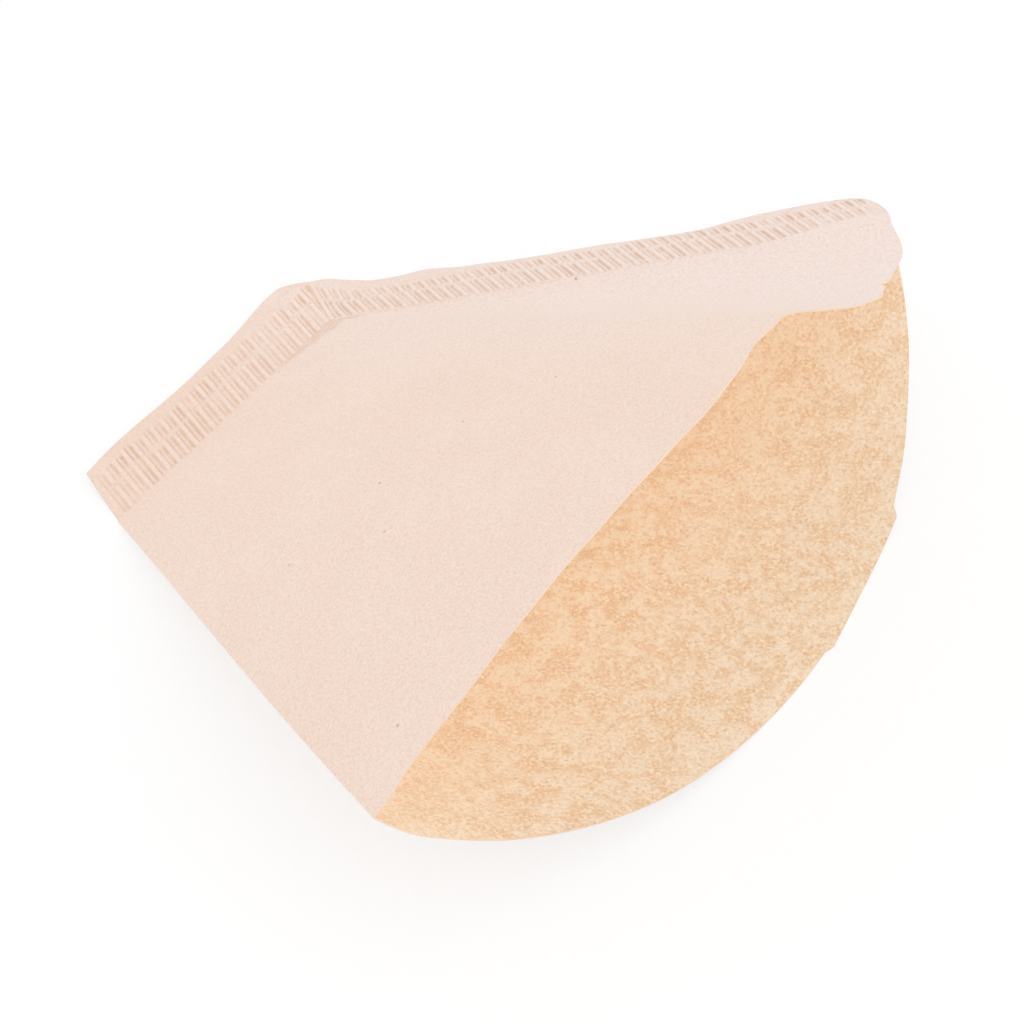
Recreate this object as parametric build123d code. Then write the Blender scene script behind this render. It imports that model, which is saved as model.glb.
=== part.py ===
from build123d import *
import math
import os

os.makedirs("parts", exist_ok=True)

# Driving dimensions, in millimetres.
bottom_width = 52.0      # bottom line, from the fold corner to the seam corner
bottom_offset = 1.0      # how far the middle of the bottom line sits towards the fold
mouth_width = 134.5      # from the fold to the seam at the two ends of the mouth
side_drop = 74.0         # from the bottom line to the mouth ends, along the middle plane
mouth_bow = 16.2         # how far the mouth edge bows out past its two ends
back_depth = 23.2        # how far the back panel sinks below the middle plane at the mouth
back_flat_width = 29.4   # level middle of the back panel at the mouth, which lies on the table
back_flat_offset = 5.8   # how far that level middle sits towards the seam
front_crest = 16.8       # how far the front panel stands above the middle plane at the mouth
crest_width = 15.3       # level middle of the front panel at the mouth
crest_offset = 7.4       # how far that level middle sits towards the seam
bend_offset = 23.5       # where the front panel's fall towards the seam turns, from the middle
bend_height = 12.3       # how high that turn lies above the middle plane
paper = 0.2              # one layer of paper
layer_gap = 0.06         # what is left open between the two layers where they meet
flange_width = 9.0       # crimped border outside the bottom line and the seam line
inner_strip = 0.9        # plain strip between the bottom or seam line and the inner crimp row
inner_row = 3.5          # length of the ribs in the inner crimp row
row_gap = 0.4            # plain strip between the two crimp rows
outer_row = 2.7          # length of the ribs in the outer crimp row
bottom_pitch = 2.2       # from one rib to the next on the bottom border
seam_pitch = 1.9         # from one rib to the next on the seam border
crimp_height = 0.15      # how far a rib stands above and below the flat border
corner_radius = 7.0      # rounded corner between the two borders
end_radius = 7.0         # rounded corner of the seam border at the mouth
row_end_margin = 1.6     # plain border left at both ends of a crimp row
tab_width = 25.8         # straight piece of the back mouth edge
tab_height = 0.05        # how far the middle of that piece stands past the round edge
nick_width = 1.6         # small tear in the front mouth edge, near the seam
lobe_height = 1.2        # how far the mouth edge stands past the round edge near the seam
lobe_radius = 14.0       # rounding of that piece of the mouth edge
cut_margin = 2.0         # how far the panels are drawn past the mouth edge before they are cut
overlap = 0.1            # how far the borders run into the walls they are joined to

# Angles, in degrees.
bottom_border_lift = 7.3   # how far the bottom border rises off the table
bottom_rib_lean = 21.0     # lean of the bottom ribs from square to the bottom line, to the seam
seam_rib_lean = 30.0       # lean of the seam ribs from square to the seam, to the bottom
front_fold_angle = 27.9    # slope at which the front panel leaves the fold
bend_angle = 31.2          # slope of the front panel at the turn of its fall
front_seam_angle = 32.7    # slope at which the front panel reaches the seam
back_fold_angle = 50.5     # slope at which the back panel leaves the fold
back_seam_angle = 56.2     # slope at which the back panel reaches the seam
tab_turn = 7.6             # where the tab sits round the mouth edge, from its middle
nick_turn = 20.2           # where the nick sits round the mouth edge
lobe_turn = 25.0           # where the lobe sits round the mouth edge

# Shares.
rise_pull_shares = (0.35, 0.49)    # fullness of the front curve from the fold, at both ends
ridge_pull_shares = (0.12, 0.52)   # the same for the front curve from the level middle to the turn
sweep_pull_shares = (0.30, 0.30)   # the same for the front curve from the turn to the seam
left_pull_share = 0.33             # fullness of the back curve at the fold
right_pull_share = 0.40            # fullness of the back curve at the seam
wave_shares = (                    # one rib along its pitch: (place, height)
    (0.00, -1.0), (0.22, -1.0), (0.50, 1.0), (0.72, 1.0))

bend_count = 16   # straight bend lines in each curve of the panels

fold_x = -bottom_width / 2 - bottom_offset
seam_x = bottom_width / 2 - bottom_offset
half_mouth = mouth_width / 2
far_drop = side_drop + mouth_bow + cut_margin
reach = far_drop / side_drop
fold_slope = math.atan2(half_mouth + fold_x, side_drop)
seam_slope = math.atan2(half_mouth - seam_x, side_drop)
tilt = math.degrees(math.atan2(back_depth, side_drop))


def slope(length, angle):
    """Step of a length along a slope of the mouth section."""
    return (length * math.cos(math.radians(angle)), length * math.sin(math.radians(angle)))


def pulled(start, start_pull, stop_pull, stop):
    """Four pull points of one curve of the mouth section."""
    return (start, (start[0] + start_pull[0], start[1] + start_pull[1]),
            (stop[0] - stop_pull[0], stop[1] - stop_pull[1]), stop)


# Mouth section of the front panel: up from the fold to a level middle, over a ridge, then
# down past the middle plane and up again to the seam.
crest_start = (crest_offset - crest_width / 2, front_crest)
crest_stop = (crest_offset + crest_width / 2, front_crest)
bend = (bend_offset, bend_height)
rise_span = half_mouth + crest_start[0]
ridge_span = math.hypot(bend[0] - crest_stop[0], bend[1] - crest_stop[1])
sweep_span = math.hypot(half_mouth - bend[0], bend[1])
rise_curve = pulled(
    (-half_mouth, 0.0), slope(rise_span * rise_pull_shares[0], front_fold_angle),
    (rise_span * rise_pull_shares[1], 0.0), crest_start)
ridge_curve = pulled(
    crest_stop, (ridge_span * ridge_pull_shares[0], 0.0),
    slope(ridge_span * ridge_pull_shares[1], -bend_angle), bend)
sweep_curve = pulled(
    bend, slope(sweep_span * sweep_pull_shares[0], -bend_angle),
    slope(sweep_span * sweep_pull_shares[1], front_seam_angle), (half_mouth, 0.0))

# Mouth section of the back panel: down from the fold to a level middle, and up to the seam.
flat_start = (back_flat_offset - back_flat_width / 2, -back_depth)
flat_stop = (back_flat_offset + back_flat_width / 2, -back_depth)
left_pull = left_pull_share * math.hypot(half_mouth + flat_start[0], back_depth)
right_pull = right_pull_share * math.hypot(half_mouth - flat_stop[0], back_depth)
left_curve = pulled(
    (-half_mouth, 0.0), slope(left_pull, -back_fold_angle), (left_pull, 0.0), flat_start)
right_curve = pulled(
    flat_stop, (right_pull, 0.0), slope(right_pull, back_seam_angle), (half_mouth, 0.0))


def section_points(curve, corner, shift):
    """Points along one curve of the mouth section, carried out from a bottom corner to the far
    section and moved square to the curve by a shift."""
    a, b, c, d = [Vector(corner + (x - corner) * reach, -far_drop, z * reach) for x, z in curve]
    points = []
    for i in range(bend_count + 1):
        t = i / bend_count
        s = 1 - t
        place = a * s ** 3 + b * (3 * s * s * t) + c * (3 * s * t * t) + d * t ** 3
        along = (b - a) * (s * s) + (c - b) * (2 * s * t) + (d - c) * (t * t)
        points.append(place + along.normalized().cross(Vector(0, 1, 0)) * shift)
    return points


def bends(tip, points):
    """Narrow flats that run from a tip to the points of a curve, one after another."""
    return [(tip, start, stop) for start, stop in zip(points, points[1:])]


def wall_block(move):
    """Solid inside the two panels, with each moved outwards. A sheet of paper can't stretch, so
    each panel is flat from the bottom line to the middle of the mouth, and its two sides bend
    along straight lines that all run from one end of the bottom line to the mouth."""
    out = fold_x - move * math.sin(math.radians((front_fold_angle + back_fold_angle) / 2))
    under = move * back_depth / side_drop - move
    fold_top, fold_under = Vector(out, move, move), Vector(out, move, under)
    seam_top, seam_under = Vector(seam_x, move, move), Vector(seam_x, move, under)
    rise = section_points(rise_curve, fold_x, move)
    left = section_points(left_curve, fold_x, -move)
    ridge = section_points(ridge_curve, seam_x, move)
    sweep = section_points(sweep_curve, seam_x, move)
    right = section_points(right_curve, seam_x, -move)
    fall = ridge + sweep[1:]
    walls = bends(fold_top, rise) + bends(seam_top, fall)
    walls += bends(fold_under, left) + bends(seam_under, right)
    walls += [
        (fold_top, seam_top, fall[0], rise[-1]), (fold_under, seam_under, right[0], left[-1]),
        (fold_top, rise[0], left[0]), (fold_top, fold_under, left[0]),
        (seam_top, fall[-1], right[-1]), (seam_top, seam_under, right[-1]),
        (fold_top, seam_top, seam_under, fold_under), rise + fall + right[::-1] + left[::-1]]
    return Solid(Shell([Face(Wire.make_polygon(corners)) for corners in walls]))


# The open cone: two walls of one paper layer that meet at the bottom line.
cone = wall_block(layer_gap / 2 + paper) - wall_block(layer_gap / 2)

# Planes of the two borders: the seam border lies in the middle plane, the bottom border is
# bent up from it along the bottom line until it lies almost level.
seam_length = math.hypot(half_mouth - seam_x, side_drop)
border_bend = math.radians(tilt + bottom_border_lift)
seam_plane = Plane(
    origin=(seam_x, 0, 0),
    x_dir=(math.sin(seam_slope), -math.cos(seam_slope), 0), z_dir=(0, 0, 1))
bottom_plane = Plane(
    origin=(0, 0, 0), x_dir=(1, 0, 0),
    z_dir=(0, -math.sin(border_bend), math.cos(border_bend)))


def plate(plane, outline):
    """Two pressed layers of paper with an outline drawn in a plane."""
    face = Face(Wire.make_polygon([plane.from_local_coords((u, v, -paper)) for u, v in outline]))
    return Solid.extrude(face, plane.z_dir * (2 * paper))


def crimp_row(plane, pitch, start, count, inside, length, lean, closed_wave):
    """One row of ribs (the wave) or the plain block that it takes the place of."""
    clear = crimp_height * 4
    if closed_wave:
        line = [(start + (i + a) * pitch, h * crimp_height)
                for i in range(count) for a, h in wave_shares]
        line.append((start + count * pitch, -crimp_height))
        outline = [(u, z + paper) for u, z in line] + [(u, z - paper) for u, z in reversed(line)]
    else:
        stop = start + count * pitch
        outline = [(start, clear), (stop, clear), (stop, -clear), (start, -clear)]
    face = Face(Wire.make_polygon([plane.from_local_coords((u, inside, z)) for u, z in outline]))
    sweep = plane.x_dir * (-length * math.tan(math.radians(lean))) + plane.y_dir * length
    return Solid.extrude(face, sweep)


def crimped(border, plane, pitch, starts, counts, lean):
    """Press both rows of ribs into a plain border."""
    insides = (inner_strip, inner_strip + inner_row + row_gap)
    lengths = (inner_row, outer_row)
    for start, count, inside, length in zip(starts, counts, insides, lengths):
        border -= crimp_row(plane, pitch, start, count, inside, length, lean, False)
        border += crimp_row(plane, pitch, start, count, inside, length, lean, True)
    return border


# Bottom border: its left end runs on along the fold, its right corner is rounded.
bend_reach = flange_width / math.cos(seam_slope)
fold_lean, seam_lean = math.tan(fold_slope), math.tan(seam_slope)
bottom_left = fold_x + flange_width * fold_lean
bottom_right = seam_x + bend_reach - flange_width * seam_lean
bottom_border = plate(bottom_plane, [
    (fold_x, -overlap), (seam_x + bend_reach, -overlap),
    (seam_x + bend_reach, 0.0), (bottom_right, flange_width), (bottom_left, flange_width)])
corner = bottom_border.edges().filter_by(Axis(bottom_plane.origin, bottom_plane.z_dir))
corner = corner.sort_by(Axis.Y)[-2:].sort_by(Axis.X)[-1]
bottom_border = fillet(corner, corner_radius)
inner_count = int(bottom_width / bottom_pitch)
outer_count = int((bottom_width + row_end_margin - flange_width * fold_lean) / bottom_pitch)
bottom_starts = (
    row_end_margin + inner_row * fold_lean + fold_x,
    row_end_margin + bottom_left - outer_row * fold_lean)
bottom_border = crimped(
    bottom_border, bottom_plane, bottom_pitch, bottom_starts, (inner_count, outer_count),
    -bottom_rib_lean)

# Seam border: from the bend to the mouth edge.
die_radius = (half_mouth ** 2 + mouth_bow ** 2) / (2 * mouth_bow)
die_middle = die_radius - side_drop - mouth_bow
die = Solid.make_cylinder(
    die_radius, 4 * mouth_width, Plane((0, die_middle, -2 * mouth_width)))
bend_start = -overlap / math.cos(seam_slope)
seam_border = plate(seam_plane, [
    (bend_start, -overlap), (bend_start + flange_width * seam_lean, flange_width),
    (seam_length * reach, flange_width), (seam_length * reach, -overlap)])
seam_border &= die
tip = seam_border.edges().filter_by(Axis.Z).sort_by(Axis.X)[-1]
seam_border = fillet(tip, end_radius)
seam_count = int((seam_length - flange_width * seam_lean - 2 * row_end_margin) / seam_pitch)
seam_start = flange_width * seam_lean + row_end_margin
seam_border = crimped(
    seam_border, seam_plane, seam_pitch, (seam_start, seam_start), (seam_count, seam_count),
    seam_rib_lean)

# Mouth edge: both panels are cut by one round die, which leaves a straight piece on the back
# panel and a small lobe next to the seam; the front panel has a small nick.
tab = Pos(0, die_middle, -back_depth * 1.5) * Rot(0, 0, tab_turn) * Pos(
    0, -die_radius + tab_width / 2 - tab_height, 0) * Box(tab_width, tab_width, back_depth * 2)
lobe = Pos(0, die_middle, 0) * Rot(0, 0, lobe_turn) * Pos(
    0, -die_radius + lobe_radius - lobe_height, 0) * Cylinder(lobe_radius, mouth_width)
nick = Pos(0, die_middle, 0) * Rot(0, 0, nick_turn) * Pos(0, -die_radius, 0) * Rot(
    0, 0, 45) * Box(nick_width, nick_width, front_crest)
cone = cone & (die + tab + lobe)
cone -= nick

# One sheet, laid on the level middle of its back panel.
filter_paper = cone + seam_border + bottom_border
filter_paper = Rot(-tilt, 0, 0) * filter_paper
box = filter_paper.bounding_box()
filter_paper = Pos(-box.center().X, -box.center().Y, -box.min.Z) * filter_paper
export_step(filter_paper, "parts/coffee_filter.step")
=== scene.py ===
import bmesh
import bpy
import numpy as np
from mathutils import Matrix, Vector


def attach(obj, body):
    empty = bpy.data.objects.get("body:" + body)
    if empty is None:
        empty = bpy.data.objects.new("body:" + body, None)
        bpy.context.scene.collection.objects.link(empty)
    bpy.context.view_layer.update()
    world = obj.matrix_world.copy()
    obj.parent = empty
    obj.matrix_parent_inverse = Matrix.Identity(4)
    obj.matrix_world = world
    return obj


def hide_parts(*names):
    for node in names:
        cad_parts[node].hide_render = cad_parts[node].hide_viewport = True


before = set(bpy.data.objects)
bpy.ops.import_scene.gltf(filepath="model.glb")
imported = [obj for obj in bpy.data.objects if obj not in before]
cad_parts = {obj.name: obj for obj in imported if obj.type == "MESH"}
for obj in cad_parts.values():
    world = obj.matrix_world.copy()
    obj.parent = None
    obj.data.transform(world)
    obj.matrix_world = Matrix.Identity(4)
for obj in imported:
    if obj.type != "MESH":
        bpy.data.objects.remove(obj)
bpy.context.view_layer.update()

# The lay of the sheet: the filter rests on the level middle of its back wall, so its middle
# plane leans back by the angle between that wall and the plane. Lengths are millimetres, taken
# from the bottom line, and become metres here.
fold_x, seam_x, half_mouth, side_drop, back_depth = -26.7, 25.0, 67.25, 74.0, 23.2
lean = np.arctan2(back_depth, side_drop)
laid_at = np.array([-2.575, 43.063, 0.233])
millimetre = 0.001


def laid(points):
    """Turn by the lean about the bottom line, shift to the table and scale to metres."""
    x, y, z = points[..., 0], points[..., 1], points[..., 2]
    turned = np.stack([x, y * np.cos(lean) + z * np.sin(lean),
                       z * np.cos(lean) - y * np.sin(lean)], axis=-1)
    return (turned + laid_at) * millimetre


# The two walls: one sheet of unbleached filter paper, folded over along the left side. Paper
# can't stretch, so each wall is flat from the bottom line to the middle of the mouth, and its
# two sides are cones whose tips are the ends of the bottom line. A round die cuts the mouth.
paper = 0.2
crest, crest_span, bend = 16.8, (-0.25, 15.05), np.array([23.5, 12.3])
front_fold_angle, bend_angle, front_seam_angle = 27.9, -31.2, 32.7
flat_span, back_fold_angle, back_seam_angle = (-8.9, 20.5), -50.5, 56.2
fold_columns, middle_columns, ridge_columns, sweep_columns = 60, 42, 15, 110
row_count, row_crowding = 44, 1.6
fold_bow, fold_fade = 0.75, 12.0
mouth_bow = 16.2
die_radius = (half_mouth ** 2 + mouth_bow ** 2) / (2 * mouth_bow)
die_middle = die_radius - side_drop - mouth_bow


def slope(length, angle):
    """Step of a length along a slope: (length cos angle, length sin angle)."""
    return np.array([length * np.cos(np.radians(angle)), length * np.sin(np.radians(angle))])


def bowed(a, b, c, d, count):
    """Curve with four pull points: s^3 a + 3 s^2 t b + 3 s t^2 c + t^3 d, with s = 1 - t."""
    t = np.linspace(0, 1, count)[:, None]
    s = 1 - t
    return s ** 3 * a + 3 * s * s * t * b + 3 * s * t * t * c + t ** 3 * d


def mouth_section(first, level, last):
    """Join three stretches of a wall's mouth section. Returns the section's points and, for each,
    the place on the bottom line that its straight line runs from."""
    middle = np.linspace(first[-1], level, middle_columns)[1:-1]
    middle_starts = np.linspace(fold_x, seam_x, middle_columns)[1:-1]
    points = np.concatenate([first, middle, last])
    starts = np.concatenate([np.full(len(first), fold_x), middle_starts,
                             np.full(len(last), seam_x)])
    return points, starts


def wall(points, starts, side, radius_of, ripple_of, rows):
    """One wall on a grid: start + k (section - start), with k from 0 at the bottom line to the
    cut of the die, a circle about its middle, where a k^2 + b k + c = 0. It is solved three times,
    because the radius of the cut depends on the place. The fold is bowed by r sin(pi r), with r
    the share of the way, which dies out over the next columns. Also gives the outward normals."""
    run_x, rise_z = points[:, 0] - starts, points[:, 1]
    step_x, step_z = np.gradient(points[:, 0]), np.gradient(rise_z)
    normal = -side * np.stack([step_z * side_drop, step_z * run_x - step_x * rise_z,
                               -step_x * side_drop], axis=-1)
    normal /= np.linalg.norm(normal, axis=1)[:, None]
    radius = np.full(len(starts), die_radius)
    a = run_x ** 2 + side_drop ** 2
    b = 2 * (starts * run_x + side_drop * die_middle)
    for _ in range(3):
        c = starts ** 2 + die_middle ** 2 - radius ** 2
        reach = (-b + np.sqrt(b * b - 4 * a * c)) / (2 * a)
        turn = np.arctan2(starts + reach * run_x, die_middle + reach * side_drop)
        radius = radius_of(turn)
    k = reach[:, None] * rows[None, :]
    grid = np.stack([starts[:, None] + k * run_x[:, None], -k * side_drop,
                     k * rise_z[:, None]], axis=-1)
    by_fold = np.exp(-(np.arange(len(starts)) / fold_fade) ** 2)
    grid[..., 0] -= fold_bow * by_fold[:, None] * rows * np.sin(np.pi * rows)
    across = np.linspace(0, 1, len(starts))[:, None]
    grid += normal[:, None, :] * ripple_of(across, rows[None, :])[..., None]
    return grid, normal


def bump(turn, place, size, spread):
    """Smooth bump of the mouth edge: size exp(-((turn - place) / spread)^2), angles in degrees."""
    return size * np.exp(-((np.degrees(turn) - place) / spread) ** 2)


def uneven(turn, waves):
    """Small waves of the cut, each size sin(rate turn + start). There are none at the fold and the
    seam, where both walls share an edge."""
    last_turn, fade = np.radians(27.0), 0.08
    shown = np.clip((last_turn - np.abs(turn)) / fade, 0, 1)
    return shown * sum(size * np.sin(turn * rate + start) for size, rate, start in waves)


def seam_lobe(turn):
    """The piece of the mouth edge next to the seam: it stands out in a lobe, then falls back."""
    return bump(turn, 25.0, 1.1, 1.5) - bump(turn, 27.5, 0.6, 1.0)


def fold_corner(turn):
    """The mouth edge next to the fold stands out in a full corner."""
    return bump(turn, -25.8, 0.9, 1.3)


def front_cut(turn):
    """Die radius along the front mouth edge: the lobe by the seam, a nick, a lip next to the nick,
    a dip at the ridge, a flat bulge beside it, a dip near the fold corner and small waves."""
    nick_turn, nick_depth, nick_half = np.radians(20.7), 1.1, 0.9
    from_nick = die_radius * (turn - nick_turn)
    nick = nick_depth * np.clip(1 - np.abs(from_nick) / nick_half, 0, 1)
    lip, ridge_dip = bump(turn, 17.8, 0.7, 1.3), bump(turn, 2.9, 1.1, 2.0)
    bulge, fold_dip = bump(turn, -3.4, 0.9, 3.4), bump(turn, -25.3, 0.7, 1.2)
    shape = seam_lobe(turn) + fold_corner(turn) + lip - ridge_dip + bulge - fold_dip
    return die_radius - nick + shape + uneven(turn, ((0.12, 31.0, 0.4), (0.07, 83.0, 0.0)))


def back_cut(turn):
    """Die radius along the back mouth edge: the fold corner, a low bulge and a dip by the seam, a
    dip past the tab, small waves, and the tab. The tab is straight, radius / cos(turn from its
    middle), and slopes down at both ends."""
    tab_turn, tab_rise, tab_half, tab_slope = np.radians(7.8), 0.05, 14.8, 1.4
    from_tab = turn - tab_turn
    tab = (die_radius + tab_rise) / np.cos(from_tab) - die_radius
    in_tab = np.clip((tab_half - die_radius * np.abs(from_tab)) / tab_slope, 0, 1)
    bulge, seam_dip = bump(turn, 22.8, 0.4, 2.6), bump(turn, 27.3, 1.0, 1.2)
    tab_dip = bump(turn, 14.8, 0.3, 2.0)
    shape = fold_corner(turn) + bulge - seam_dip - tab_dip + uneven(turn, ((0.10, 27.0, 1.1),))
    return die_radius + shape + in_tab * np.maximum(tab - shape, 0)


def front_ripple(across, down):
    """Soft waves of the front wall, none at its edges: down^2 sin(pi across) times two sines."""
    long_wave, short_wave = 0.22, 0.12
    waves = long_wave * np.sin(9.0 * across + 0.5) + short_wave * np.sin(21.0 * across + 3.0 * down)
    return down ** 2 * np.sin(np.pi * across) * waves


def back_ripple(across, down):
    """Soft waves of the back wall where it stands off the table, none on its level middle."""
    across_wave, down_wave = 0.25, 0.15
    off_table = np.clip(np.abs(across - 0.5) * 4 - 1, 0, 1) * np.sin(np.pi * across)
    waves = across_wave * np.sin(14.0 * across) + down_wave * np.sin(6.0 * down)
    return down ** 2 * off_table * waves


fold_end, seam_end = np.array([-half_mouth, 0.0]), np.array([half_mouth, 0.0])
crest_a, crest_b = np.array([crest_span[0], crest]), np.array([crest_span[1], crest])
rise_span = crest_a[0] - fold_end[0]
ridge_span, sweep_span = np.hypot(*(bend - crest_b)), np.hypot(*(seam_end - bend))
rise = bowed(fold_end, fold_end + slope(0.35 * rise_span, front_fold_angle),
             crest_a - slope(0.49 * rise_span, 0), crest_a, fold_columns)
ridge = bowed(crest_b, crest_b + slope(0.12 * ridge_span, 0),
              bend - slope(0.52 * ridge_span, bend_angle), bend, ridge_columns)
sweep = bowed(bend, bend + slope(0.30 * sweep_span, bend_angle),
              seam_end - slope(0.30 * sweep_span, front_seam_angle), seam_end, sweep_columns)
flat_a, flat_b = np.array([flat_span[0], -back_depth]), np.array([flat_span[1], -back_depth])
left_pull = 0.33 * np.hypot(*(flat_a - fold_end))
right_pull = 0.40 * np.hypot(*(seam_end - flat_b))
left = bowed(fold_end, fold_end + slope(left_pull, back_fold_angle),
             flat_a - slope(left_pull, 0), flat_a, fold_columns)
right = bowed(flat_b, flat_b + slope(right_pull, 0),
              seam_end - slope(right_pull, back_seam_angle), seam_end,
              ridge_columns + sweep_columns - 1)

rows = np.linspace(0, 1, row_count) ** row_crowding
front_section, front_starts = mouth_section(rise, crest_b, np.concatenate([ridge, sweep[1:]]))
back_section, back_starts = mouth_section(left, flat_b, right)
front, front_normal = wall(front_section, front_starts, 1, front_cut, front_ripple, rows)
back, back_normal = wall(back_section, back_starts, -1, back_cut, back_ripple, rows)


def turned_over(start, stop, count):
    """Directions in between two others, with w the angle from one to the other:
    (sin((1 - t) w) start + sin(t w) stop) / sin w."""
    angle = np.arccos(np.clip(start @ stop, -1, 1))
    t = np.linspace(0, 1, count + 2)[1:-1, None]
    return (np.sin((1 - t) * angle) * start + np.sin(t * angle) * stop) / np.sin(angle)


# Once round the sheet: front wall, seam, back wall, fold. The inner skin runs down from the
# bottom line to the mouth and the outer skin runs back, one paper thickness further out.
bends = 5
loop = np.concatenate([front, np.repeat(front[-1:], bends, axis=0),
                       back[::-1], np.repeat(front[:1], bends, axis=0)])
loop_normal = np.concatenate([
    front_normal, turned_over(front_normal[-1], back_normal[-1], bends),
    back_normal[::-1], turned_over(back_normal[0], front_normal[0], bends)])
outer = loop + paper * loop_normal[:, None, :]
walls = np.concatenate([loop, outer[:, ::-1]], axis=1)

# Next to the seam corner, a narrow strip of the front wall along the bottom line, which widens
# towards the corner, is painted with the tan of the crimped grooves: painted shade in the crease
# where the wall rises from the border.
strip_width, strip_start, strip_run, strip_fade, crease_painted_shade = 4.4, 9.0, 18.0, 0.4, -0.6
front_count = len(front_starts)
front_outer_skin = outer[:front_count, ::-1]
strip = strip_width * np.clip((front_outer_skin[..., 0] - strip_start) / strip_run, 0, 1)
in_crease_shade = np.clip((strip + front_outer_skin[..., 1]) / strip_fade, 0, 1)
# Painted shade: the crease strip by the seam corner is darkened towards the tan of the grooves.
wall_painted_shade = np.zeros(walls.shape[:2])
wall_painted_shade[:front_count, row_count:] = crease_painted_shade * in_crease_shade


def grid_faces(columns, lines):
    """Four-cornered faces of a grid whose columns close into a ring, and the line each is on."""
    i, j = np.meshgrid(np.arange(columns), np.arange(lines - 1), indexing="ij")
    n = (i + 1) % columns
    faces = np.stack([i * lines + j, n * lines + j, n * lines + j + 1, i * lines + j + 1], axis=-1)
    return faces.reshape(-1, 4), j.reshape(-1)


def closing_face(first):
    """Face that closes the bends of the loop at the bottom line, from its first column on."""
    return [i % wall_columns * wall_lines + end_line for i in range(first, first + bends + 2)]


outside_slot, inside_slot, edge_slot = 0, 1, 2
wall_columns, wall_lines = walls.shape[:2]
mouth_line, end_line = row_count - 1, wall_lines - 1
wall_faces, wall_line = grid_faces(wall_columns, wall_lines)
wall_slot = np.where(wall_line < mouth_line, inside_slot, outside_slot)
wall_slot[wall_line == mouth_line] = edge_slot
pair = np.arange(front_count - 1)
mirror = 2 * front_count + bends - 1 - pair
bottom_faces = np.stack([pair, mirror, mirror - 1, pair + 1], axis=-1) * wall_lines + end_line
closing = [closing_face(front_count - 1), closing_face(2 * front_count + bends - 1)]

# The crimped border: outside the bottom line and the seam both layers are pressed together
# between toothed wheels, in two rows of short ribs. It is one band with a bent outer edge.
border_lift = 7.3
border_bend = lean + np.radians(border_lift)
seam_slope = np.arctan2(half_mouth - seam_x, side_drop)
along_seam = np.array([np.sin(seam_slope), -np.cos(seam_slope), 0.0])
from_seam = np.array([np.cos(seam_slope), np.sin(seam_slope), 0.0])
seam_corner = np.array([seam_x, 0.0, 0.0])
bottom_length, turn_length, seam_length = seam_x - fold_x, 6.3, 85.0
fold_end_slope, tucked_in, blur = 0.48, 0.15, 5

n_bottom, n_turn, n_seam, n_across = 310, 50, 490, 30
place = np.concatenate([np.linspace(0, bottom_length, n_bottom),
                        bottom_length + turn_length * np.linspace(0, 1, n_turn + 2)[1:-1],
                        bottom_length + turn_length + np.linspace(0, seam_length, n_seam)])
edge_places = [0, 4, 8, 13, 20, 26, 38, 43, 46, 49, 52, 52.6, 53.9, 55.5, 57, 58, 61.3, 62.9,
               66.2, 69.5, 72.8, 74.5, 76, 77.6, 79, 83.8, 86.9, 94.3, 102.9, 106.9, 115.2,
               119.5, 124.4, 129.1, 138, 143]
edge_widths = [9.05, 9.35, 9.45, 9.35, 9.05, 8.95, 9.25, 9.7, 10.0, 10.2, 10.1, 9.76, 9.14, 8.66,
               9.05, 9.1, 9.45, 9.75, 9.4, 9.45, 9.95, 9.95, 9.6, 9.25, 8.9, 8.7, 8.25, 8.0, 8.05,
               7.65, 7.1, 7.15, 8.0, 8.6, 8.95, 8.75]
band_width = np.pad(np.interp(place, edge_places, edge_widths), blur, mode="edge")
band_width = np.convolve(band_width, np.full(2 * blur + 1, 1 / (2 * blur + 1)), mode="valid")
share = np.linspace(0, 1, n_across)[None, :]
width = -tucked_in + share * (band_width[:, None] + tucked_in)


def seam_run(width, widest):
    """Length of the seam border at a width w: length - bow w^2, with a round of radius r at the
    widest, - (r - sqrt(r^2 - past^2))."""
    length, bow, r = 84.9, 0.055, 3.0
    past = np.clip(width - (widest - r), 0, r)
    return length - bow * width ** 2 - (r - np.sqrt(r ** 2 - past ** 2))


out_angle = np.clip((place - bottom_length) / turn_length, 0, 1) * (np.pi / 2 - seam_slope)
out = np.stack([np.sin(out_angle), np.cos(out_angle), 0 * place], axis=-1)
bottom_share = np.clip(place / bottom_length, 0, 1)[:, None]
seam_share = np.clip((place - bottom_length - turn_length) / seam_length, 0, 1)[:, None]
start_x = fold_x + fold_end_slope * width
foot_x = start_x + bottom_share * (seam_x - start_x)
foot = np.stack([foot_x, 0 * foot_x, 0 * foot_x], axis=-1)
foot += seam_share[..., None] * seam_run(width, band_width[:, None])[..., None] * along_seam
flat_band = foot + width[..., None] * out[:, None, :]


def bent_up(points):
    """Bend the flat band along the bottom line, so that its bottom part lies nearly level. Past the
    line it follows an arc about a point above it, y' = (r - z) sin a, z' = r - (r - z) cos a, with
    a = y / r up to the whole bend, and then runs straight on."""
    x, y, z = points[..., 0], points[..., 1], points[..., 2]
    r = 2.0
    a = np.clip(y / r, 0, border_bend)
    rest = np.where(y > 0, y - r * a, y)
    return np.stack([x, (r - z) * np.sin(a) + rest * np.cos(a),
                     r - (r - z) * np.cos(a) + rest * np.sin(a)], axis=-1)
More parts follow.
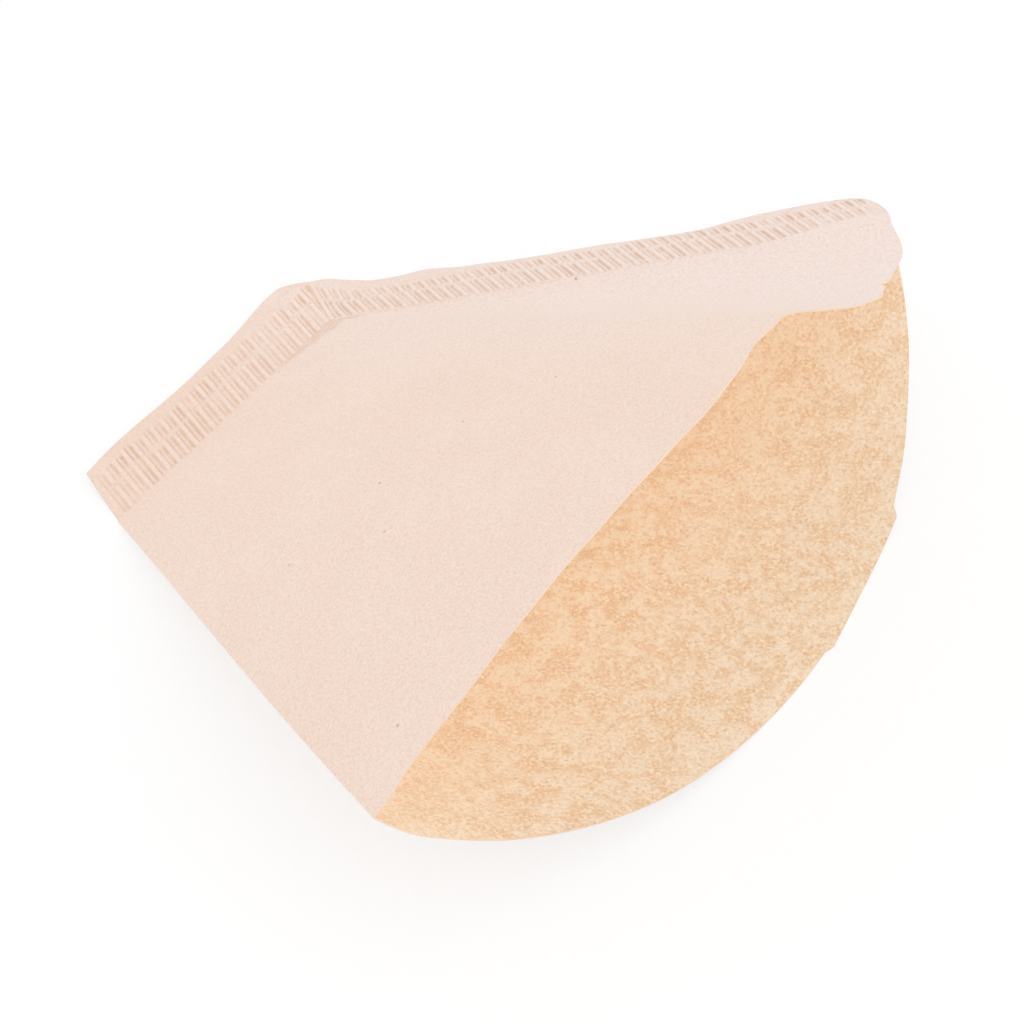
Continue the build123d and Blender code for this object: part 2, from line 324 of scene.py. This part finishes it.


# Ribs: on the bottom border they lean to the seam, on the seam border to the bottom, and a pressed
# line halves the corner between them. Near the mouth the seam rows run outwards and leave a plain
# strip. No two ribs are alike. Painted shade makes the border a little darker than the walls, to
# even out the extra light on its level top, but not the plain strip near the mouth.
bottom_pitch, bottom_lean, bottom_edges = 2.17, 21.0, ((0.0, 4.5), (4.7, 7.5))
inner_shift = 2.8
seam_pitch, seam_lean = 1.89, 30.0
seam_edges = ((-0.1, inner_shift, 4.3, 1.2), (4.6, 1.2, 7.0, 0.8))
shift_start, shift_run, seam_rows_end, seam_rows_fade = 66.0, 14.0, 82.6, 1.2
fold_gap, seam_strength = 0.4, 1.25
mitre_fade, line_half, line_end, line_depth = 0.5, 0.22, 8.6, 0.6
rib_height, border_painted_shade, strip_edge = 0.15, 0.27, 0.5
sway, sway_length = 0.03, 9.0
from_corner = flat_band - seam_corner
seam_s, seam_w = from_corner @ along_seam, from_corner @ from_seam
half_turn = (np.pi / 2 - seam_slope) / 2
past_mitre = from_corner @ np.array([np.cos(half_turn), -np.sin(half_turn), 0.0])
chance = np.random.default_rng(7)


def rib_row(along, across, pitch, low, high):
    """One row of ribs between two distances from the line. Returns its height, strength times
    clip(1.8 sin(2 pi p)), and its colour and shade, strength times
    (0.5 sin(2 pi p) - 0.7 cos(4 pi p)), where p counts the ribs. This is partly the tan of the
    grooves
    and partly painted shade and highlight: each groove is painted dark down both of its sides, and
    pale lines are painted on the ribs. Strength, ends and place are drawn at random for every rib,
    and the ends of a row run in slow waves."""
    count, first, end_fade, wander, wander_length = 160, 60, 0.35, 0.2, 4.1
    p = along / pitch + first
    p = p + np.interp(p, np.arange(count), chance.uniform(-0.08, 0.08, count))
    cell = np.floor(p).astype(int)
    low = low + chance.normal(0, 0.14, count)[cell] + wander * np.sin(along / wander_length)
    high = high + chance.normal(0, 0.20, count)[cell] + wander * np.sin(along / wander_length + 0.4)
    inside = np.clip((across - low) / end_fade, 0, 1) * np.clip((high - across) / end_fade, 0, 1)
    inside = inside * chance.uniform(0.5, 1.1, count)[cell]
    wave = np.sin(2 * np.pi * p)
    return np.stack([inside * np.clip(1.8 * wave, -1, 1),
                     inside * (0.5 * wave - 0.7 * np.cos(4 * np.pi * p))])


flat_x, flat_y = flat_band[..., 0], flat_band[..., 1]
upright_x = flat_x - flat_y * np.tan(np.radians(bottom_lean))
leaning_s = seam_s + seam_w * np.tan(np.radians(seam_lean))
outwards = np.clip((seam_s - shift_start) / shift_run, 0, 1)
bottom_rows = sum(rib_row(upright_x, flat_y, bottom_pitch, low, high)
                  for low, high in bottom_edges)
bottom_rows = bottom_rows * np.clip(flat_x - fold_x - fold_end_slope * flat_y - fold_gap, 0, 1)
seam_rows = sum(rib_row(leaning_s, seam_w, seam_pitch,
                        low + low_shift * outwards, high + high_shift * outwards)
                for low, low_shift, high, high_shift in seam_edges)
seam_rows = seam_rows * np.clip((seam_rows_end - seam_s) / seam_rows_fade, 0, 1)
seam_rows[1] *= seam_strength
off_mitre = np.clip(np.abs(past_mitre) / mitre_fade, 0, 1)
crimp, colour_and_shade = np.where(past_mitre > 0, seam_rows, bottom_rows) * off_mitre
pressed_line = np.exp(-(past_mitre / line_half) ** 2)
pressed_line = pressed_line * np.clip(width, 0, 1) * np.clip(line_end - width, 0, 1)
# The pressed line is lower and also painted darker: painted shade in its crease.
crimp, colour_and_shade = crimp - line_depth * pressed_line, colour_and_shade - line_depth * pressed_line
off_strip = np.clip((seam_w - inner_shift * outwards) / strip_edge + 1, 0, 1)
# Painted shade over the whole border, except on the plain strip near the mouth.
colour_and_shade = colour_and_shade - border_painted_shade * np.where(past_mitre > 0, off_strip, 1)
height = rib_height * crimp + sway * share * np.sin(place / sway_length)[:, None]
upright = np.array([0.0, 0.0, 1.0])
top = bent_up(flat_band + (height + paper)[..., None] * upright)
under = bent_up(flat_band + (height - paper)[..., None] * upright)
band = np.concatenate([top, under[:, ::-1]], axis=1)
# Per point the border carries the tan of the grooves with painted shade and painted highlight.
band_colour_and_shade = np.concatenate([colour_and_shade, colour_and_shade[:, ::-1]], axis=1)

band_columns, band_lines = band.shape[:2]
band_start = wall_columns * wall_lines
i, j = np.meshgrid(np.arange(band_columns - 1), np.arange(band_lines), indexing="ij")
n = (j + 1) % band_lines
band_faces = np.stack([i * band_lines + j, (i + 1) * band_lines + j, (i + 1) * band_lines + n,
                       i * band_lines + n], axis=-1).reshape(-1, 4) + band_start
cap = np.arange(n_across - 1)
near_cap = np.stack([cap, cap + 1, band_lines - 2 - cap, band_lines - 1 - cap], axis=-1)
near_cap = near_cap + band_start
far_cap = near_cap + (band_columns - 1) * band_lines
band_faces = np.concatenate([band_faces, near_cap, far_cap])

# One sheet: walls and border are one object, closed, with its faces turned outwards. Ribs that
# touch the table are pressed flat on it.
same_point, no_length, crease = 1e-6, 1e-7, np.radians(40)
verts = laid(np.concatenate([walls.reshape(-1, 3), band.reshape(-1, 3)]))
verts[:, 2] = np.maximum(verts[:, 2], 0.0)
faces = np.concatenate([wall_faces, bottom_faces, band_faces]).tolist() + closing
slots = np.full(len(faces), outside_slot)
slots[:len(wall_slot)] = wall_slot
mesh = bpy.data.meshes.new("coffee_filter_sheet")
mesh.from_pydata(verts, [], faces)
# This attribute holds the groove tan, the painted shade and the painted highlight for the shader.
mesh.attributes.new("colour_and_shade", "FLOAT", "POINT").data.foreach_set(
    "value", np.concatenate([wall_painted_shade.reshape(-1), band_colour_and_shade.reshape(-1)]))
mesh.polygons.foreach_set("material_index", slots)
work = bmesh.new()
work.from_mesh(mesh)
bmesh.ops.remove_doubles(work, verts=work.verts, dist=same_point)
bmesh.ops.dissolve_degenerate(work, edges=work.edges, dist=no_length)
bmesh.ops.recalc_face_normals(work, faces=work.faces)
work.to_mesh(mesh)
work.free()
mesh.shade_smooth()
mesh.set_sharp_from_angle(angle=crease)
sheet = bpy.data.objects.new("coffee_filter_sheet", mesh)
bpy.context.scene.collection.objects.link(sheet)

# Paper fibres: cloudy areas where the pulp lies thicker or thinner, smaller mottles, short flecks
# of single fibres, a fine tooth and a few specks, some fainter than others. All sides of the sheet
# share them, in different size and strength.
fibres = bpy.data.node_groups.new("paper_fibres", "ShaderNodeTree")
for name, value in (("Cloud Size", 90.0), ("Mottle Size", 260.0), ("Fleck Size", 1300.0)):
    socket = fibres.interface.new_socket(name, in_out="INPUT", socket_type="NodeSocketFloat")
    socket.default_value = value
for name in ("Clouds", "Mottles", "Flecks", "Tooth", "Specks"):
    fibres.interface.new_socket(name, in_out="OUTPUT", socket_type="NodeSocketFloat")


def put(tree, kind, values=None, **settings):
    """Add a node to a tree, with its settings and the values of its inputs."""
    node = tree.nodes.new(kind)
    for key, value in settings.items():
        setattr(node, key, value)
    for key, value in (values or {}).items():
        node.inputs[key].default_value = value
    return node


def join(tree, start, stop):
    """Link an output to an input."""
    tree.links.new(start, stop)


group_in, group_out = put(fibres, "NodeGroupInput"), put(fibres, "NodeGroupOutput")
spot = put(fibres, "ShaderNodeTexCoord")
clouds = put(fibres, "ShaderNodeTexNoise", {"Detail": 2.0, "Roughness": 0.5})
mottles = put(fibres, "ShaderNodeTexNoise", {"Detail": 3.0, "Roughness": 0.6})
tooth = put(fibres, "ShaderNodeTexNoise", {"Scale": 3000.0, "Detail": 1.0, "Roughness": 0.5})
flecks = put(fibres, "ShaderNodeTexNoise", {"Detail": 2.0, "Roughness": 0.6, "Distortion": 0.3})
cells = put(fibres, "ShaderNodeTexVoronoi", {"Scale": 220.0})
cell_pick = put(fibres, "ShaderNodeSeparateColor")
rare = put(fibres, "ShaderNodeMapRange", {"From Min": 0.5, "From Max": 1.0})
close = put(fibres, "ShaderNodeMapRange", {"From Min": 0.058, "From Max": 0.034})
speck = put(fibres, "ShaderNodeMath", operation="MULTIPLY")
for node in (clouds, mottles, tooth, flecks, cells):
    join(fibres, spot.outputs["Object"], node.inputs["Vector"])
for name, node in (("Cloud Size", clouds), ("Mottle Size", mottles), ("Fleck Size", flecks)):
    join(fibres, group_in.outputs[name], node.inputs["Scale"])
join(fibres, cells.outputs["Color"], cell_pick.inputs["Color"])
join(fibres, cell_pick.outputs["Red"], rare.inputs["Value"])
join(fibres, cells.outputs["Distance"], close.inputs["Value"])
join(fibres, rare.outputs["Result"], speck.inputs[0])
join(fibres, close.outputs["Result"], speck.inputs[1])
for name, node in (("Clouds", clouds), ("Mottles", mottles), ("Flecks", flecks), ("Tooth", tooth),
                   ("Specks", speck)):
    join(fibres, node.outputs[0], group_out.inputs[name])


def linear(red, green, blue):
    """Colour given as it looks on a screen, 0 to 255, as the linear light that a shader takes."""
    c = np.array([red, green, blue]) / 255
    c = np.where(c <= 0.04045, c / 12.92, ((c + 0.055) / 1.055) ** 2.4)
    return (*[float(v) for v in c], 1.0)


def blend(tree, factor, first, second):
    """Mix two colours by a mask; each colour is a value or an output."""
    node = put(tree, "ShaderNodeMix", data_type="RGBA")
    join(tree, factor, node.inputs["Factor"])
    for socket, colour in ((node.inputs[6], first), (node.inputs[7], second)):
        if isinstance(colour, tuple):
            socket.default_value = colour
        else:
            join(tree, colour, socket)
    return node.outputs[2]


def ramp(tree, value, low, high, top=1.0):
    """Spread a mask: 0 below low, top above high."""
    node = put(tree, "ShaderNodeMapRange", {"From Min": low, "From Max": high, "To Max": top})
    join(tree, value, node.inputs["Value"])
    return node.outputs["Result"]


def layer(tree, under, mask, spread, colour):
    """Lay a screen colour over another colour by a mask, which is spread as in ramp."""
    return blend(tree, ramp(tree, mask, *spread), under, linear(*colour))


def times(tree, first, second):
    """Product of two masks."""
    node = put(tree, "ShaderNodeMath", operation="MULTIPLY")
    join(tree, first, node.inputs[0])
    join(tree, second, node.inputs[1])
    return node.outputs[0]


def object_axes(tree):
    """The three coordinates of the shaded spot, in metres."""
    spot, axes = put(tree, "ShaderNodeTexCoord"), put(tree, "ShaderNodeSeparateXYZ")
    join(tree, spot.outputs["Object"], axes.inputs["Vector"])
    return axes.outputs


def paper_material(name, sizes, colours, glow):
    """Matt paper: its colour comes from the function colours, its tooth from the fibre group. The
    glow is the warm light that comes through the thin paper from its other side."""
    material = bpy.data.materials.new(name)
    material.use_nodes = True
    tree = material.node_tree
    shader = tree.nodes["Principled BSDF"]
    shader.inputs["Roughness"].default_value = 0.92
    shader.inputs["Specular IOR Level"].default_value = 0.15
    shader.inputs["Emission Color"].default_value = (1.0, 0.76, 0.50, 1.0)
    shader.inputs["Emission Strength"].default_value = glow
    group = put(tree, "ShaderNodeGroup", node_tree=fibres)
    for key, value in zip(("Cloud Size", "Mottle Size", "Fleck Size"), sizes):
        group.inputs[key].default_value = value
    join(tree, colours(tree, group.outputs), shader.inputs["Base Color"])
    tooth = put(tree, "ShaderNodeBump", {"Strength": 0.2, "Distance": 0.00006})
    join(tree, group.outputs["Tooth"], tooth.inputs["Height"])
    join(tree, tooth.outputs["Normal"], shader.inputs["Normal"])
    return material


def outside_colours(tree, masks):
    """Pale rose beige, with painted light that makes it paler towards the seam, a fine even grain
    and a few dark specks. The grooves between the ribs are tan, partly the paper's own colour
    and partly painted shade, and the ribs get pale painted highlights. Painted shade also darkens
    the border and the crease strip next to the seam corner."""
    plain = layer(tree, linear(244, 219, 203), masks["Clouds"], (0.35, 0.65), (247, 223, 208))
    # Painted light: the wall is made paler towards the seam.
    to_seam = object_axes(tree)["X"]
    painted_light_to_seam = layer(tree, plain, to_seam, (-0.005, 0.045, 0.95), (245, 233, 230))
    grain = layer(tree, painted_light_to_seam, masks["Flecks"], (0.36, 0.64, 0.6), (233, 207, 190))
    fine = layer(tree, grain, masks["Tooth"], (0.35, 0.65, 0.6), (252, 233, 221))
    colour_and_shade = put(tree, "ShaderNodeAttribute", attribute_name="colour_and_shade").outputs["Fac"]
    # Painted shade, partly the paper's own tan: grooves, crease strip and border are darkened.
    groove_tan_and_shade = times(tree, ramp(tree, colour_and_shade, -0.1, -1.0, 0.9), ramp(tree, masks["Mottles"], 0.2, 0.55))
    groove = blend(tree, groove_tan_and_shade, fine, linear(228, 193, 168))
    # Painted highlight: the pale lines on the ribs.
    rib = layer(tree, groove, colour_and_shade, (0.1, 0.9, 0.5), (248, 228, 220))
    return layer(tree, rib, masks["Specks"], (0.0, 1.0, 0.8), (196, 150, 130))


def inside_colours(tree, masks):
    """Tan with cloudy orange and pale areas, mottles and short fibres, some pale and some dark. The
    tan is partly the paper's own colour and partly painted: shade and warm light bounced between
    the walls. Towards the mouth, where more light falls on it, painted shade makes it darker and
    stronger in colour."""
    plain = layer(tree, linear(235, 203, 169), masks["Clouds"], (0.36, 0.64), (241, 217, 191))
    mottled = layer(tree, plain, masks["Mottles"], (0.42, 0.58), (246, 232, 214))
    dark = layer(tree, mottled, masks["Flecks"], (0.48, 0.30, 0.7), (218, 181, 143))
    pale = layer(tree, dark, masks["Flecks"], (0.52, 0.66), (255, 243, 226))
    fine = layer(tree, pale, masks["Tooth"], (0.40, 0.65, 0.5), (249, 231, 208))
    # Painted shade: darker and stronger in colour towards the mouth, where more light falls.
    deep_y, mouth_y = -0.018, -0.043
    to_bottom = object_axes(tree)["Y"]
    darker = put(tree, "ShaderNodeHueSaturation")
    for name, at_mouth in (("Value", 0.89), ("Saturation", 1.12)):
        level = put(tree, "ShaderNodeMapRange", {"From Min": deep_y, "From Max": mouth_y,
                                                 "To Min": 1.0, "To Max": at_mouth})
        join(tree, to_bottom, level.inputs["Value"])
        join(tree, level.outputs["Result"], darker.inputs[name])
    join(tree, fine, darker.inputs["Color"])
    return darker.outputs["Color"]


def edge_colours(tree, masks):
    """The cut edge at the mouth, where the fibres are seen end on: an even pale tan."""
    return layer(tree, linear(238, 210, 184), masks["Clouds"], (0.35, 0.65), (243, 217, 193))


for name, sizes, colours, glow in (
        ("paper_outside", (70.0, 420.0, 2200.0), outside_colours, 0.0),
        ("paper_inside", (90.0, 330.0, 2000.0), inside_colours, 0.095),
        ("paper_edge", (90.0, 240.0, 1500.0), edge_colours, 0.0)):
    mesh.materials.append(paper_material(name, sizes, colours, glow))
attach(sheet, "root")
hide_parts("coffee_filter")

# The table: a plain white floor. Part of its white is its own, so that it stays white to the edge
# of the picture; the rest is lit and keeps the soft shadow of the filter.
half_table, own_share, own_strength = 4, 0.66, 1.06
corners = [(half_table * x, half_table * y, 0) for x, y in ((-1, -1), (1, -1), (1, 1), (-1, 1))]
floor_mesh = bpy.data.meshes.new("table")
floor_mesh.from_pydata(corners, [], [(0, 1, 2, 3)])
table = bpy.data.objects.new("table", floor_mesh)
bpy.context.scene.collection.objects.link(table)


def seen_straight(tree):
    """Mask of the rays that show a surface straight to the eye: camera, mirror and glass rays."""
    path = put(tree, "ShaderNodeLightPath")
    mask = path.outputs["Is Camera Ray"]
    for name in ("Is Glossy Ray", "Is Transmission Ray"):
        node = put(tree, "ShaderNodeMath", operation="MAXIMUM")
        join(tree, mask, node.inputs[0])
        join(tree, path.outputs[name], node.inputs[1])
        mask = node.outputs[0]
    return mask


def mix_shaders(tree, factor, first, second, surface):
    """Mix two shaders by a mask and send the result to a tree's surface."""
    both = put(tree, "ShaderNodeMixShader")
    join(tree, factor, both.inputs[0])
    join(tree, first.outputs[0], both.inputs[1])
    join(tree, second.outputs[0], both.inputs[2])
    join(tree, both.outputs[0], surface)


pure_white, paint = (1.0, 1.0, 1.0, 1.0), (0.92, 0.92, 0.92, 1.0)
white = bpy.data.materials.new("table_white")
white.use_nodes = True
tree = white.node_tree
tree.nodes.remove(tree.nodes["Principled BSDF"])
lit = put(tree, "ShaderNodeBsdfDiffuse", {"Color": paint})
own = put(tree, "ShaderNodeEmission", {"Color": pure_white, "Strength": own_strength})
own_part = put(tree, "ShaderNodeMath", {1: own_share}, operation="MULTIPLY")
join(tree, seen_straight(tree), own_part.inputs[0])
mix_shaders(tree, own_part.outputs[0], lit, own, tree.nodes["Material Output"].inputs["Surface"])
floor_mesh.materials.append(white)

# Light: a white room all round and one large soft lamp on the side of the mouth, which lights the
# inside of the filter.
world = bpy.data.worlds.new("room")
world.use_nodes = True
tree = world.node_tree
room = tree.nodes["Background"]
room.inputs["Color"].default_value = pure_white
room.inputs["Strength"].default_value = 0.98
backdrop = put(tree, "ShaderNodeBackground", {"Color": pure_white, "Strength": 1.0})
mix_shaders(tree, seen_straight(tree), room, backdrop, tree.nodes["World Output"].inputs["Surface"])
bpy.context.scene.world = world
lamp_data = bpy.data.lights.new("soft_lamp", "AREA")
lamp_data.shape, lamp_data.size, lamp_data.energy = "DISK", 0.8, 1.2
lamp = bpy.data.objects.new("soft_lamp", lamp_data)
lamp.location = (0.15, -0.95, 0.36)
lamp.rotation_euler = (-Vector(lamp.location)).to_track_quat("-Z", "Y").to_euler()
bpy.context.scene.collection.objects.link(lamp)

# The camera: where the photograph was taken from, a long lens about 44 degrees above the table.
camera_data = bpy.data.cameras.new("camera")
camera_data.sensor_width, camera_data.lens = 36.0, 105.53
camera = bpy.data.objects.new("camera", camera_data)
camera.location = (-0.25804, -0.15859, 0.29321)
camera.rotation_euler = np.radians([46.044, -1.156, -57.843])
bpy.context.scene.collection.objects.link(camera)
bpy.context.scene.camera = camera
bpy.context.scene.view_settings.view_transform = "Standard"
